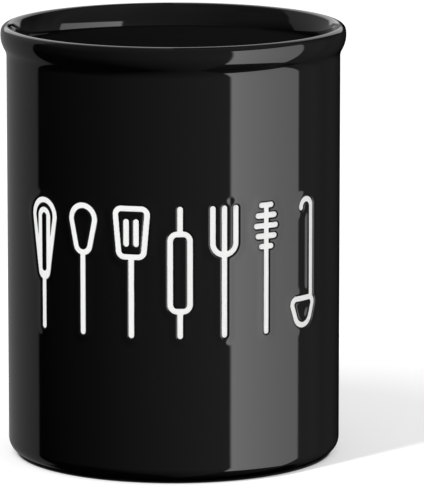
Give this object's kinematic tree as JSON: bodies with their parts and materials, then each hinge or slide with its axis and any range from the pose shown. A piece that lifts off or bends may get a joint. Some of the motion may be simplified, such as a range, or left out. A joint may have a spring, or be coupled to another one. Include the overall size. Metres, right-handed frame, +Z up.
{
  "type": "utensil crock",
  "caption": "Round gloss-black glazed stoneware crock with a rolled, flared rim and white enamel utensil drawings let into the front, open at the top to hold kitchen tools upright.",
  "frame": {"origin": "on the table under the middle of the crock, in the plane of the foot ring", "axes": "+Z up along the crock's axis, -Y towards the front with the drawings, +X to the right seen from the front"},
  "size_m": [0.1314, 0.1314, 0.165],
  "materials": {
    "stoneware": "bare fired clay, dry and finely speckled",
    "black_glaze": "smooth gloss black glaze",
    "white_enamel": "satin white enamel, slightly domed"
  },
  "bodies": {
    "root": {"stoneware_body": "stoneware", "glaze_coat": "black_glaze", "base_glaze": "black_glaze", "whisk_inlay": "white_enamel", "spoon_inlay": "white_enamel", "turner_inlay": "white_enamel", "rolling_pin_inlay": "white_enamel", "fork_inlay": "white_enamel", "honey_dipper_inlay": "white_enamel", "ladle_inlay": "white_enamel"}
  },
  "joints": []
}
